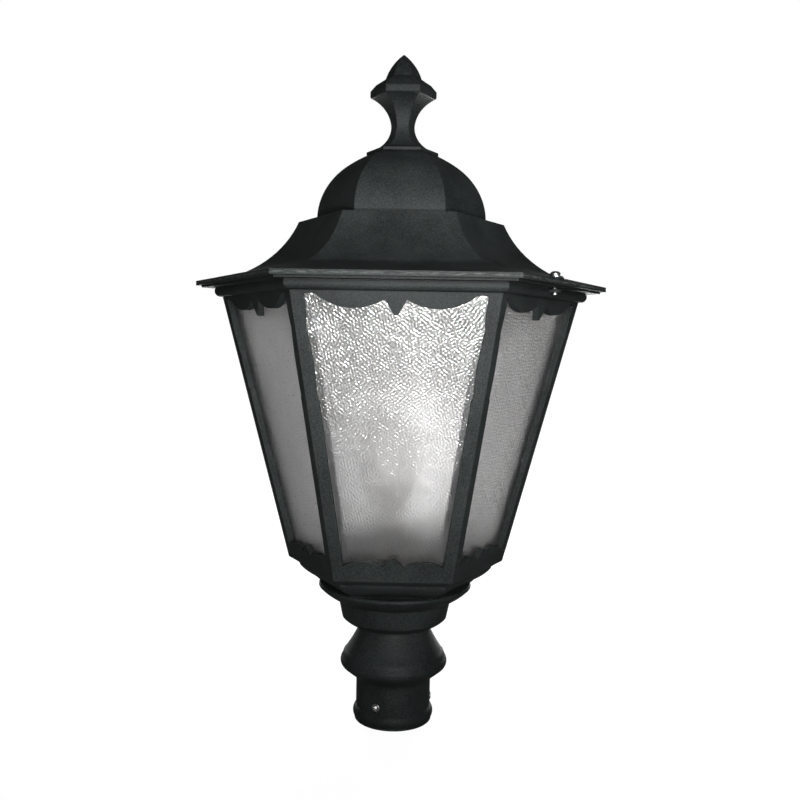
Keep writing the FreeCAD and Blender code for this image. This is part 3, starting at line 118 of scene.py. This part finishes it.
class Nodes:
    """A node tree being written: nodes are added by kind, each giving a wire."""

    def __init__(self, tree):
        self.tree = tree

    def link(self, value, socket):
        """Joins a wire to a socket, or sets the socket's own value."""
        if isinstance(value, Wire):
            self.tree.links.new(value.socket, socket)
        elif isinstance(value, tuple) and len(value) == 3 and socket.type == "RGBA":
            socket.default_value = (*value, 1.0)
        else:
            socket.default_value = value

    def node(self, kind, settings=None, *values, out=0, **named):
        """Adds a node: its settings first, then its sockets by place or by name."""
        new = self.tree.nodes.new("ShaderNode" + kind)
        for key, value in (settings or {}).items():
            setattr(new, key, value)
        ready = [s for s in new.inputs if s.enabled]
        for value, socket in zip(values, ready):
            self.link(value, socket)
        for key, value in named.items():
            label = key.replace("_", " ")
            self.link(value, next(s for s in ready if s.name == label))
        return Wire(self, [s for s in new.outputs if s.enabled][out])

    def outputs(self, wire, *names):
        """Other outputs of the node that a wire comes from, by name."""
        return [Wire(self, wire.socket.node.outputs[name]) for name in names]

    def place(self):
        """Object coordinates, in metres."""
        return self.node("TexCoord", out=OBJECT)

    def blend(self, share, first, second):
        """A colour between two colours."""
        return self.node("Mix", {"data_type": "RGBA"}, share, first, second)

    def ray_kinds(self):
        """Three wires that are 1 for rays from the camera, from gloss and through glass."""
        path = self.node("LightPath")
        return self.outputs(path, "Is Camera Ray", "Is Glossy Ray", "Is Transmission Ray")


class Finish(Nodes):
    """A material being written, whose values feed its one shader."""

    def __init__(self, name, **sockets):
        self.material = bpy.data.materials.new(name)
        self.material.use_nodes = True
        super().__init__(self.material.node_tree)
        self.shader = next(n for n in self.tree.nodes if n.type == "BSDF_PRINCIPLED")
        self.feed(**sockets)

    def feed(self, **sockets):
        """Sets or links the shader's own sockets."""
        for key, value in sockets.items():
            self.link(value, self.shader.inputs[key.replace("_", " ")])

    def height(self):
        """The third of the Object coordinates, in metres."""
        split = self.node("SeparateXYZ", None, self.place())
        return self.outputs(split, "Z")[0]

    def noise(self, size, detail=2.0, roughness=0.5, stretch=(1.0, 1.0, 1.0)):
        """Even noise from 0 to 1 whose grains are about size metres wide."""
        vector = self.node("Mapping", None, self.place(), Scale=stretch)
        return self.node(
            "TexNoise", None, Vector=vector, Scale=1.0 / size, Detail=detail, Roughness=roughness
        )

    def bump(self, height, depth, strength=1.0):
        """Feeds the normal with a relief of a given depth in metres."""
        normal = self.node("Bump", None, Strength=strength, Distance=depth, Height=height)
        self.feed(Normal=normal)


# ---- finishes ------------------------------------------------------------------------
COAT_DARK = (0.0060, 0.0080, 0.0078)
COAT_LIGHT = (0.0340, 0.0410, 0.0400)
# colour of a painted highlight, laid in streaks along the roof's rim
COAT_RIM_HIGHLIGHT = (0.15, 0.16, 0.155)
COAT_GLOSS = 0.22
COAT_GRAIN = 1.2 * MM
COAT_CLOUD = 38 * MM
COAT_RELIEF = 0.12 * MM
# height band of the painted rim highlight
RIM_HIGHLIGHT_BAND = (441.9 * MM, 1.9 * MM)  # its middle height, and its reach up and down

GLASS_DARK = (0.44, 0.435, 0.435)
GLASS_LIGHT = (0.49, 0.485, 0.485)
GLASS_INDEX = 1.5
GLASS_COAT_INDEX = 1.95
GLASS_COAT_ROUGHNESS = 0.18

LAMP_TINT = (1.0, 0.99, 0.97)
LAMP_GLOW = 1.15
LAMP_BODY_SHARE = 0.5


def powder_coat(name, highlight_band=None):
    """Satin black-green powder coat: fine grains, slow cloudiness, and, if a band is given, a
    painted highlight laid there in light streaks.
    """
    coat = Finish(name, Specular_IOR_Level=COAT_GLOSS)
    grain = coat.noise(COAT_GRAIN, 3.0, 0.62)
    cloud = coat.noise(COAT_CLOUD, 3.0, 0.55)
    share = grain.above(0.36, 0.66) * 0.7 + cloud.above(0.3, 0.7) * 0.3
    colour = coat.blend(share, COAT_DARK, COAT_LIGHT)
    # painted highlight: a lighter streaked band at the given height
    if highlight_band:
        streaks = coat.noise(9 * MM, 4.0, 0.6, stretch=(1.0, 1.0, 9.0))
        fine = coat.noise(1.6 * MM, 2.0, 0.5, stretch=(0.5, 0.5, 2.0))
        rim_highlight = coat.height().near(*highlight_band) * streaks.above(0.42, 0.66)
        colour = coat.blend(rim_highlight * (fine * 0.9 + 0.25), colour, COAT_RIM_HIGHLIGHT)
    coat.feed(Base_Color=colour, Roughness=grain * 0.14 + cloud * 0.08 + 0.48)
    coat.bump(grain * 0.7 + coat.noise(2.6 * MM, 2.0) * 0.5, COAT_RELIEF, 0.55)
    return coat.material


def bare_metal(name, colour, roughness, brushed=1.0):
    """Bare metal: fine scratches drawn out along one axis, patches of handling and dull spots."""
    metal = Finish(name, Metallic=1.0)
    scratches = metal.noise(0.7 * MM, 3.0, 0.6, stretch=(1.0, 1.0, 1.0 / (1.0 + 5.0 * brushed)))
    patches = metal.noise(7 * MM, 3.0, 0.6)
    dull = tuple(0.62 * c for c in colour)
    metal.feed(
        Base_Color=metal.blend(patches.above(0.35, 0.75) * 0.6 + scratches * 0.25, colour, dull),
        Roughness=scratches * 0.14 + patches * 0.16 + roughness,
    )
    metal.bump(scratches, 0.05 * MM, 0.4)
    return metal.material


def moulded(name, colour, shade, roughness, grain=0.6 * MM, depth=0.03 * MM, **sockets):
    """Moulded or glazed material: a soft cloud of two tones, with fine grain in its surface."""
    plain = Finish(name, **sockets)
    cloud = plain.noise(11 * MM, 3.0, 0.55)
    fine = plain.noise(grain, 2.0, 0.5)
    plain.feed(
        Base_Color=plain.blend(cloud.above(0.35, 0.7) * 0.7 + fine * 0.3, colour, shade),
        Roughness=fine * 0.12 + cloud * 0.08 + roughness,
    )
    plain.bump(fine, depth, 0.5)
    return plain.material


def glowing(name, colour, shade, roughness, strength):
    """A moulded part of the lamp that gives light itself."""
    light = {"Emission_Color": LAMP_TINT, "Emission_Strength": strength}
    return moulded(name, colour, shade, roughness, **light)


def pebbled_glass(name):
    """Grey translucent glass whose grey varies a little in clouds; pane() shapes its pebbles."""
    glass = Finish(
        name, Transmission_Weight=1.0, IOR=GLASS_INDEX, Coat_Weight=1.0,
        Coat_IOR=GLASS_COAT_INDEX, Coat_Roughness=GLASS_COAT_ROUGHNESS,
    )
    cloud = glass.noise(45 * MM, 2.0, 0.5)
    fine = glass.noise(1.3 * MM, 2.0, 0.6)
    glass.feed(
        Base_Color=glass.blend(cloud.above(0.3, 0.7), GLASS_DARK, GLASS_LIGHT),
        Roughness=fine * 0.1 + 0.24,
    )
    glass.bump(fine, 0.10 * MM, 0.6)
    return glass.material


# ---- shapes --------------------------------------------------------------------------
PEBBLE_WAVE = 2.5 * MM
PEBBLE_WAVES = 26
PEBBLE_SPREAD = (0.8, 1.35)  # shortest and longest wave, as shares of PEBBLE_WAVE
PEBBLE_CONTRAST = 0.9
PEBBLE_DEPTH = 0.62 * MM
PANE_STEP = 0.72 * MM
PANE_BACK_COLUMNS = 24
PANE_FADE = 2 * MM

WELD = 1e-6
FLAT_TURN = math.radians(0.5)
SHARP_TURN = math.radians(30)


def smooth(mesh):
    """Shades every face of a mesh smooth."""
    mesh.polygons.foreach_set("use_smooth", np.ones(len(mesh.polygons), bool))


def in_scene(name, mesh):
    """A new object of the scene, at the origin."""
    piece = bpy.data.objects.new(name, mesh)
    bpy.context.scene.collection.objects.link(piece)
    return piece


def mesh_piece(name, points, faces, material):
    """A mesh object at the origin from an array of points and a list of faces."""
    mesh = bpy.data.meshes.new(name)
    mesh.from_pydata(points.tolist(), [], faces)
    mesh.materials.append(material)
    smooth(mesh)
    mesh.update()
    return in_scene(name, mesh)


def pebbles(across, up, seed):
    """Relief from 0 to 1: the sum of many plane waves of about one length, each in its own
    random direction and phase, scaled by the root of their number and bounded by a tanh. It
    gives short winding ridges with no direction of their own."""
    random = np.random.default_rng(seed)
    angles = random.uniform(0, 2 * math.pi, PEBBLE_WAVES)
    phases = random.uniform(0, 2 * math.pi, PEBBLE_WAVES)
    lengths = PEBBLE_WAVE * random.uniform(*PEBBLE_SPREAD, PEBBLE_WAVES)
    total = np.zeros_like(across)
    for angle, phase, length in zip(angles, phases, lengths):
        along = across * math.cos(angle) + up * math.sin(angle)
        total += np.cos(2 * math.pi * along / length + phase)
    return 0.5 + 0.5 * np.tanh(total / math.sqrt(PEBBLE_WAVES) * PEBBLE_CONTRAST)


def ring_faces(rows, columns):
    """Quads between successive closed rings of points, then one face over each end ring."""
    row, column = np.meshgrid(np.arange(rows - 1), np.arange(columns), indexing="ij")
    after = (column + 1) % columns
    low, high = row * columns, (row + 1) * columns
    quads = np.stack([low + column, low + after, high + after, high + column], -1).reshape(-1, 4)
    ends = [list(range(columns))[::-1], list(range((rows - 1) * columns, rows * columns))]
    return quads.tolist() + ends


def cage_face(height):
    """Distance from the axis to the cage's outer face."""
    return CAGE_FOOT + CAGE_SLOPE * (height - FLOOR)


def pane(side, material):
    """A leaning pane as rings stacked from foot to head. Each ring runs along the outer face,
    which dips by the pebbles' relief, then back along the smooth inner face."""
    rows = int((PANE_TOP - PANE_FOOT) / PANE_STEP)
    width = (cage_face(PANE_TOP) * HALF_SIDE - PANE_INSET) * 2
    front = int(width / PANE_STEP)
    heights = np.linspace(PANE_FOOT, PANE_TOP, rows)[:, None]
    half = cage_face(heights) * HALF_SIDE - PANE_INSET
    outward = np.linspace(-1.0, 1.0, front)[None, :] * half
    homeward = np.linspace(1.0, -1.0, PANE_BACK_COLUMNS)[None, :] * half
    edge = np.clip((half - np.abs(outward)) / PANE_FADE, 0, 1)
    ends = np.clip(np.minimum(heights - PANE_FOOT, PANE_TOP - heights) / PANE_FADE, 0, 1)
    relief = PEBBLE_DEPTH * pebbles(outward, heights / math.cos(LEAN), side)
    outer = cage_face(heights) - FRAME_THICKNESS - relief * edge * ends
    inner = np.broadcast_to(cage_face(heights) - FRAME_THICKNESS - PANE_THICKNESS, homeward.shape)
    x = np.concatenate([outward, homeward], 1)
    y = -np.concatenate([outer, inner], 1)
    z = np.broadcast_to(heights, x.shape)
    turn = SIDE_STEP * side
    points = np.stack([
        x * math.cos(turn) - y * math.sin(turn), x * math.sin(turn) + y * math.cos(turn), z,
    ], -1).reshape(-1, 3)
    node = f"pane_{side + 1}"
    faces = ring_faces(rows, front + PANE_BACK_COLUMNS)
    piece = mesh_piece(f"pebbled_{node}", points, faces, material)
    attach(piece, "cage")
    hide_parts(node)


def softened(frame, node, width, finish):
    """A cast piece with its sharp edges rounded: the solid's own faces, merged where they lie
    in one plane, with a narrow round along every edge that turns by more than SHARP_TURN."""
    mesh = frame["nodes"][node].data.copy()
    shell = bmesh.new()
    shell.from_mesh(mesh)
    bmesh.ops.remove_doubles(shell, verts=shell.verts, dist=WELD)
    bmesh.ops.dissolve_limit(shell, angle_limit=FLAT_TURN, verts=shell.verts, edges=shell.edges)
    shell.to_mesh(mesh)
    shell.free()
    if mesh.attributes.get("custom_normal"):
        mesh.attributes.remove(mesh.attributes["custom_normal"])
    mesh.materials.clear()
    mesh.materials.append(finish)
    smooth(mesh)
    piece = in_scene(f"soft_{node}", mesh)
    bevel = piece.modifiers.new("rounded_edges", "BEVEL")
    bevel.width = width
    bevel.segments = 2
    bevel.limit_method = "ANGLE"
    bevel.angle_limit = SHARP_TURN
    bevel.harden_normals = True
    bodies = frame["record"]["behaviour"]["bodies"]
    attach(piece, next(body for body, nodes in bodies.items() if node in nodes))
    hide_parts(node)


# ---- studio --------------------------------------------------------------------------
ROOM_GLOW = 0.05             # world strength for dull surfaces
ROOM_GLOSS = 0.015           # world strength for gloss, away from the white sheet
SHEET_EDGE = (0.90, 0.985)   # backward share of a ray's direction where the sheet fades in
FLOOR_GLOSS = 0.05
FLOOR_BASE = (0.12,) * 3
FLOOR_NEAR = (0.965,) * 3
FLOOR_FAR = (1.0,) * 3
FLOOR_FADE = (0.2, 0.9)      # metres from the axis, from FLOOR_NEAR to FLOOR_FAR
FLOOR_REACH = 12.0
BLACK = (0.0,) * 3
WHITE = (1.0,) * 3


def white_world():
    """A room that is white to the eye and through glass. Gloss sees a white sheet standing
    behind the lantern and a dim room elsewhere, and dull surfaces get hardly any light from it."""
    world = bpy.data.worlds.new("studio")
    world.use_nodes = True
    bpy.context.scene.world = world
    room = Nodes(world.node_tree)
    towards = room.node("SeparateXYZ", None, room.node("TexCoord", out=GENERATED))
    rearward, = room.outputs(towards, "Y")
    eye, gloss, through = room.ray_kinds()
    sheet = rearward.above(*SHEET_EDGE) * (1.0 - ROOM_GLOSS) + ROOM_GLOSS
    seen = eye.most(through).most(gloss * sheet)
    background = next(n for n in room.tree.nodes if n.type == "BACKGROUND")
    room.link(WHITE, background.inputs["Color"])
    room.link(seen.most(ROOM_GLOW), background.inputs["Strength"])


def pale_floor():
    """A floor that is almost as white as the room to the eye and through glass, fully so further
    away, and dim to gloss. The lantern's soft shadow on it is faint."""
    half = FLOOR_REACH
    corners = np.array([(-half, -half, 0), (half, -half, 0), (half, half, 0), (-half, half, 0)])
    finish = Finish("pale_floor", Roughness=0.9, Specular_IOR_Level=0.0, Base_Color=FLOOR_BASE)
    eye, gloss, through = finish.ray_kinds()
    seen = eye.most(gloss * FLOOR_GLOSS).most(through)
    away = finish.node("VectorMath", {"operation": "LENGTH"}, finish.place())
    colour = finish.blend(away.above(*FLOOR_FADE), FLOOR_NEAR, FLOOR_FAR)
    finish.feed(Emission_Color=finish.blend(seen, BLACK, colour), Emission_Strength=1.0)
    floor = mesh_piece("floor", corners, [(0, 1, 2, 3)], finish.material)


def lamp(name, place, target, size, power, spread=180):
    """A square studio light aimed at a point: metres, watts and degrees. A spread under 180
    narrows its beam."""
    data = bpy.data.lights.new(name, "AREA")
    data.size = size
    data.energy = power
    data.spread = math.radians(spread)
    light = bpy.data.objects.new(name, data)
    light.location = place
    aim = Vector(target) - Vector(place)
    light.rotation_mode = "QUATERNION"
    light.rotation_quaternion = aim.to_track_quat("-Z", "Y")
    bpy.context.scene.collection.objects.link(light)


def studio():
    """Room, floor and lights: a key high in front, a small panel by the lens for the glints in
    the pebbles, one light to each side far behind, and one seen through the front pane."""
    bpy.context.scene.view_settings.view_transform = "Standard"
    white_world()
    pale_floor()
    lamp("key", (0.24, -0.98, 0.66), target=(0, 0, 0.50), size=0.35, power=0.95, spread=58)
    lamp("near_lens", (0.07, -0.93, 0.29), target=(0, 0, 0.36), size=0.06, power=0.80, spread=60)
    for side in (-1, 1):
        lamp(f"back_{side}", (0.60 * side, 1.45, 0.45), target=(0, 0, 0.33), size=0.4, power=10.0)
    lamp("behind_glass", (0.14, 0.80, 0.10), target=(0, 0, 0.24), size=0.34, power=5.0)


# ---- the lantern ---------------------------------------------------------------------
EDGE_ROUNDS = {
    "post_socket": 0.6 * MM, "base_dish": 0.5 * MM, "base_tray": 0.6 * MM, "cornice_ring": 0.5 * MM,
    "roof_skirt": 0.6 * MM, "roof_dome": 0.6 * MM, "finial": 0.5 * MM,
    **{f"side_frame_{side + 1}": 0.6 * MM for side in range(SIDES)},
}


def finishes():
    """The material of every slot in the record."""
    coat = powder_coat("powder_coat")
    return {
        "coated_casting": coat,
        "coated_hinge": coat,
        "stainless_steel": bare_metal("stainless", (0.60, 0.60, 0.59), 0.22),
        "bare_aluminium": bare_metal("mill_aluminium", (0.62, 0.63, 0.64), 0.34),
        "brass_parts": bare_metal("brass", (0.72, 0.56, 0.25), 0.25, brushed=0.3),
        "lamp_cap_metal": bare_metal("nickel", (0.70, 0.70, 0.70), 0.20, brushed=0.3),
        "seal_foam": moulded("seal_foam", (0.02, 0.02, 0.02), (0.035, 0.035, 0.035), 0.75,
                             1.2 * MM, 0.2 * MM),
        "grommet_rubber": moulded("rubber", (0.025, 0.025, 0.025), (0.04, 0.04, 0.04), 0.55),
        "white_reflector": moulded("white_enamel", (0.85, 0.85, 0.84), (0.78, 0.78, 0.76), 0.30),
        "porcelain": moulded("porcelain", (0.80, 0.79, 0.75), (0.72, 0.70, 0.66), 0.12,
                             Coat_Weight=0.6),
        "lamp_white_plastic": glowing("lamp_plastic", (0.85, 0.85, 0.83), (0.78, 0.78, 0.76), 0.45,
                                      LAMP_BODY_SHARE * LAMP_GLOW),
        "opal_globe": glowing("opal", (0.92, 0.91, 0.88), (0.86, 0.85, 0.82), 0.30, LAMP_GLOW),
        "terminal_plastic": moulded("terminal_plastic", (0.82, 0.81, 0.76), (0.74, 0.73, 0.68), 0.5),
        "wire_insulation": moulded("wire_skin", (0.10, 0.16, 0.42), (0.08, 0.13, 0.35), 0.4),
        "pebbled_glass": pebbled_glass("pebbled_glass"),
    }


def dress(frame):
    """Gives every solid its finish, rounds the castings' edges and replaces the panes."""
    slots = finishes()
    # the roof skirt's coat carries a painted highlight band along its rim
    highlighted_rim_coat = powder_coat("powder_coat_rubbed_rim", RIM_HIGHLIGHT_BAND)
    for part in frame["record"]["subparts"]:
        for slot in frame["nodes"][part["node"]].material_slots:
            slot.material = slots[part["material_slot"]]
    for node, width in EDGE_ROUNDS.items():
        softened(frame, node, width, highlighted_rim_coat if node == "roof_skirt" else slots["coated_casting"])
    for side in range(SIDES):
        pane(side, slots["pebbled_glass"])


photo_camera()
studio()
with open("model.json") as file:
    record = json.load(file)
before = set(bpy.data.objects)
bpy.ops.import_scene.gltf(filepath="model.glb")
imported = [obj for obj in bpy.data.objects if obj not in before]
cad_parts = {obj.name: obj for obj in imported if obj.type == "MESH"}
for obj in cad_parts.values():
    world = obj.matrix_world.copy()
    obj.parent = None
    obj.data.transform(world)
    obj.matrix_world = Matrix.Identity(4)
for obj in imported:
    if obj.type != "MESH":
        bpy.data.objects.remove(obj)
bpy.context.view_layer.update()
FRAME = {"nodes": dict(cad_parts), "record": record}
dress(FRAME)
